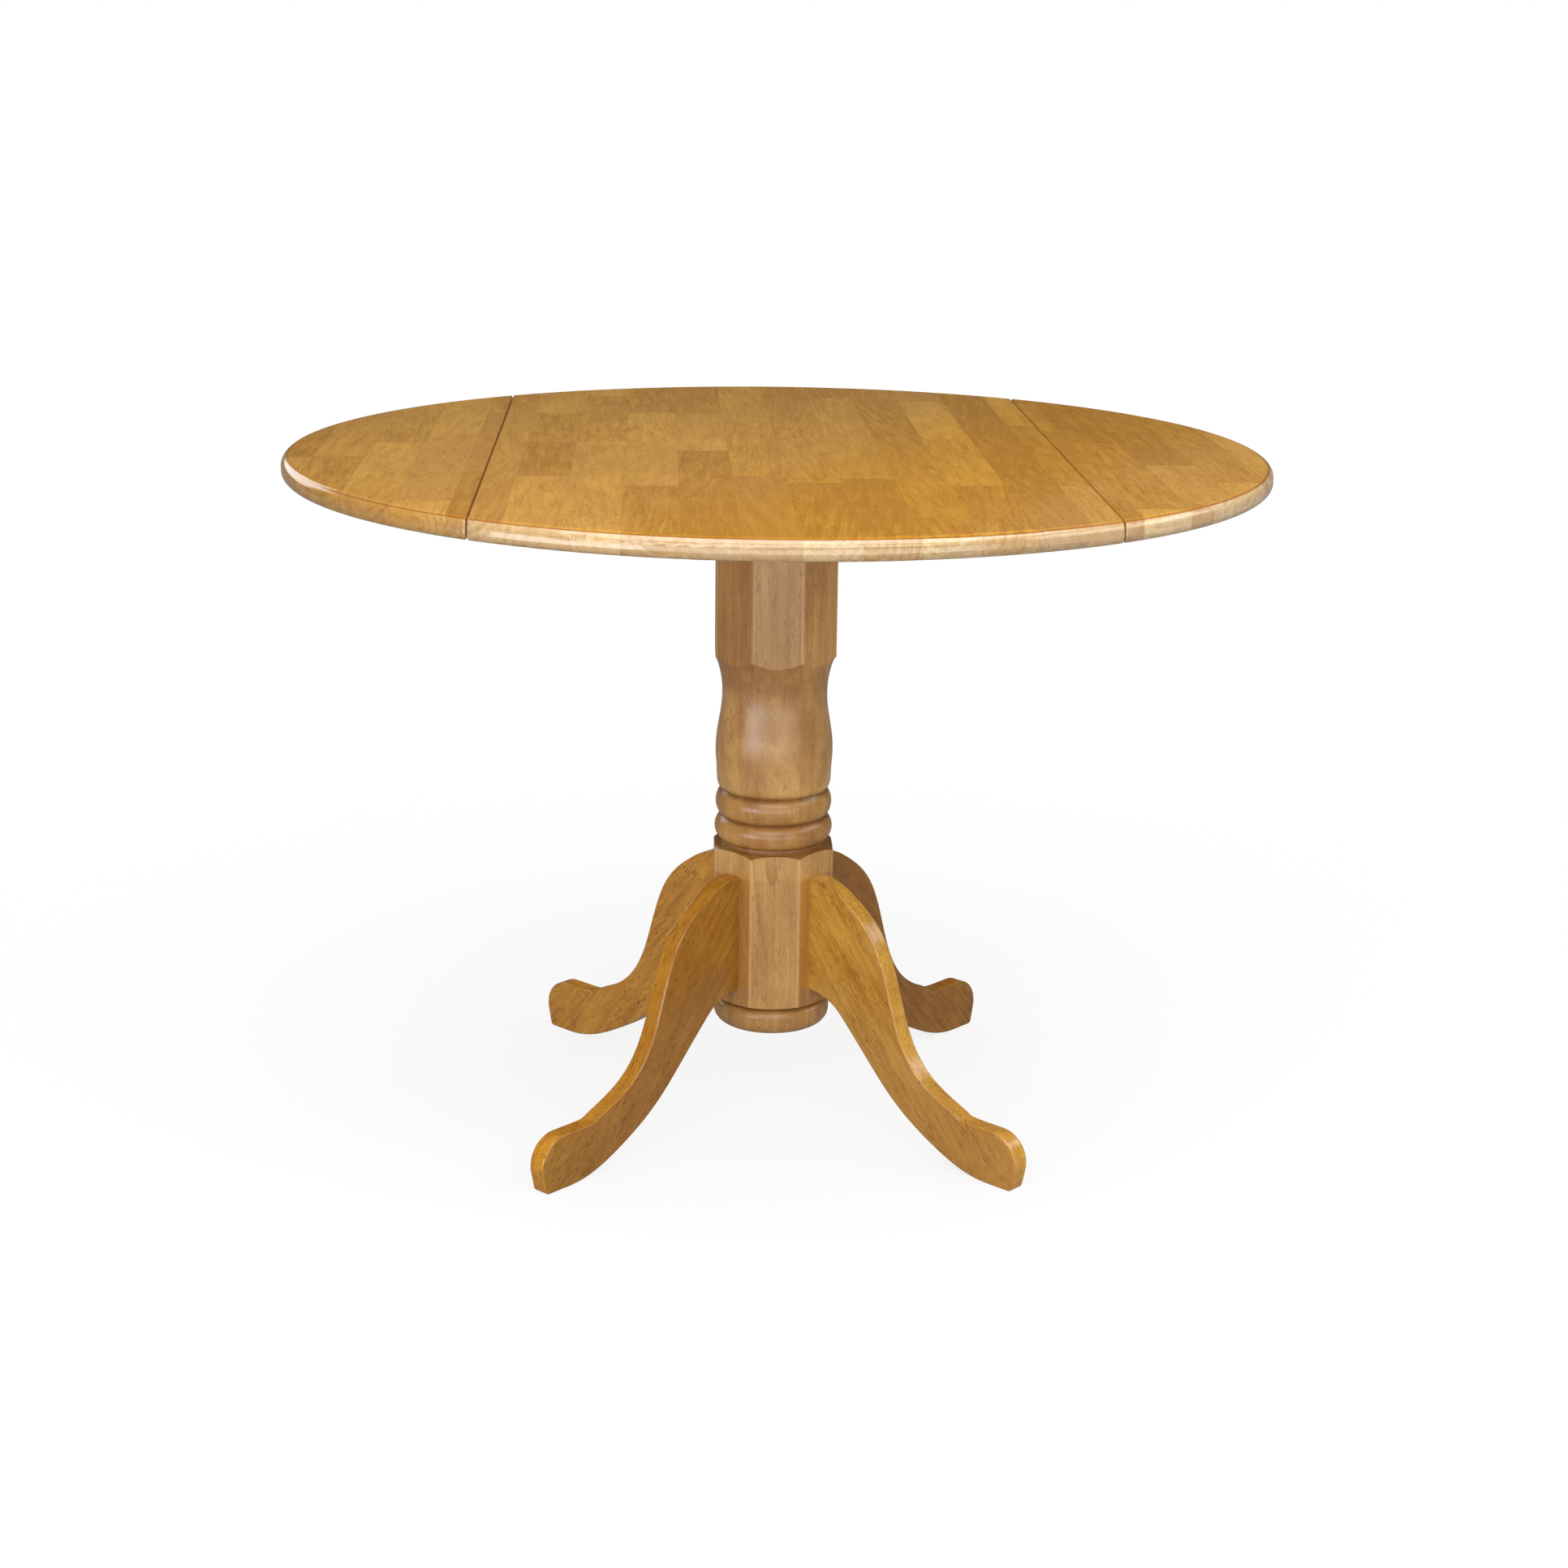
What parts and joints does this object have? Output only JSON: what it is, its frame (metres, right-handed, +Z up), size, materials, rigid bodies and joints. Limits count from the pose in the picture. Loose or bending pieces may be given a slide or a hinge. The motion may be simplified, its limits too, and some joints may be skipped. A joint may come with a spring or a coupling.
{
  "type": "drop leaf table",
  "caption": "Round pedestal table whose two side leaves fold down on butt hinges, held by slotted stays, on a turned octagonal column with scrolled legs.",
  "frame": {"origin": "on the floor, on the axis of the column, at the middle of the box", "axes": "+Z up; +X to the right leaf, square to the seams; +Y to the rear, along the boards and the seams"},
  "size_m": [1.0668, 1.0666, 0.762],
  "materials": {
    "centre_panel": "staved hardwood, honey stain, satin lacquer",
    "under_timber": "hardwood, thin stain",
    "column": "turned hardwood, honey stain, satin lacquer",
    "leg": "hardwood plank, honey stain, satin lacquer",
    "bolt": "zinc plated steel",
    "screw": "yellow zinc plated steel",
    "pin": "bright steel",
    "hinge": "zinc plated steel",
    "stay": "zinc plated steel",
    "left_leaf": "staved hardwood, honey stain, satin lacquer",
    "right_leaf": "staved hardwood, honey stain, satin lacquer"
  },
  "bodies": {
    "base": {"centre_panel": "centre_panel", "front_cleat": "under_timber", "rear_cleat": "under_timber", "mounting_block": "under_timber", "column": "column", "leg_front_left": "leg", "leg_front_right": "leg", "leg_rear_left": "leg", "leg_rear_right": "leg", "leg_bolts": "bolt", "leg_washers": "bolt", "leg_nuts": "bolt", "column_bolts": "bolt", "column_bolt_washers": "bolt", "panel_screws": "screw", "cleat_screws": "screw", "block_screws": "screw", "stay_pivot_rivets": "pin", "left_front_hinge_plate": "hinge", "left_front_hinge_pin": "pin", "left_front_panel_bracket": "stay", "left_rear_hinge_plate": "hinge", "left_rear_hinge_pin": "pin", "left_rear_panel_bracket": "stay", "right_front_hinge_plate": "hinge", "right_front_hinge_pin": "pin", "right_front_panel_bracket": "stay", "right_rear_hinge_plate": "hinge", "right_rear_hinge_pin": "pin", "right_rear_panel_bracket": "stay"},
    "left_leaf_body": {"left_leaf": "left_leaf", "left_leaf_screws": "screw", "left_stay_slide_rivets": "pin", "left_front_hinge_leaf": "hinge", "left_front_leaf_bracket": "stay", "left_rear_hinge_leaf": "hinge", "left_rear_leaf_bracket": "stay"},
    "left_front_stay": {"left_front_stay_arm": "stay"},
    "left_rear_stay": {"left_rear_stay_arm": "stay"},
    "right_leaf_body": {"right_leaf": "right_leaf", "right_leaf_screws": "screw", "right_stay_slide_rivets": "pin", "right_front_hinge_leaf": "hinge", "right_front_leaf_bracket": "stay", "right_rear_hinge_leaf": "hinge", "right_rear_leaf_bracket": "stay"},
    "right_front_stay": {"right_front_stay_arm": "stay"},
    "right_rear_stay": {"right_rear_stay_arm": "stay"}
  },
  "joints": [
    {"name": "left_leaf_fold", "type": "hinge", "parent": "base", "child": "left_leaf_body", "pos_m": [-0.309, 0, 0.736], "axis": [0, -1, 0], "range_deg": [0, 90]},
    {"name": "left_front_stay_turn", "type": "hinge", "parent": "base", "child": "left_front_stay", "pos_m": [-0.283, -0.15, 0.714], "axis": [0, -1, 0], "range_deg": [0, 90]},
    {"name": "left_rear_stay_turn", "type": "hinge", "parent": "base", "child": "left_rear_stay", "pos_m": [-0.283, 0.15, 0.714], "axis": [0, -1, 0], "range_deg": [0, 90]},
    {"name": "right_leaf_fold", "type": "hinge", "parent": "base", "child": "right_leaf_body", "pos_m": [0.309, 0, 0.736], "axis": [0, 1, 0], "range_deg": [0, 90]},
    {"name": "right_front_stay_turn", "type": "hinge", "parent": "base", "child": "right_front_stay", "pos_m": [0.283, -0.15, 0.714], "axis": [0, 1, 0], "range_deg": [0, 90]},
    {"name": "right_rear_stay_turn", "type": "hinge", "parent": "base", "child": "right_rear_stay", "pos_m": [0.283, 0.15, 0.714], "axis": [0, 1, 0], "range_deg": [0, 90]}
  ],
  "couplings": [
    {"joint": "left_front_stay_turn", "follows": "left_leaf_fold", "ratio": 1},
    {"joint": "left_rear_stay_turn", "follows": "left_leaf_fold", "ratio": 1},
    {"joint": "right_front_stay_turn", "follows": "right_leaf_fold", "ratio": 1},
    {"joint": "right_rear_stay_turn", "follows": "right_leaf_fold", "ratio": 1}
  ]
}
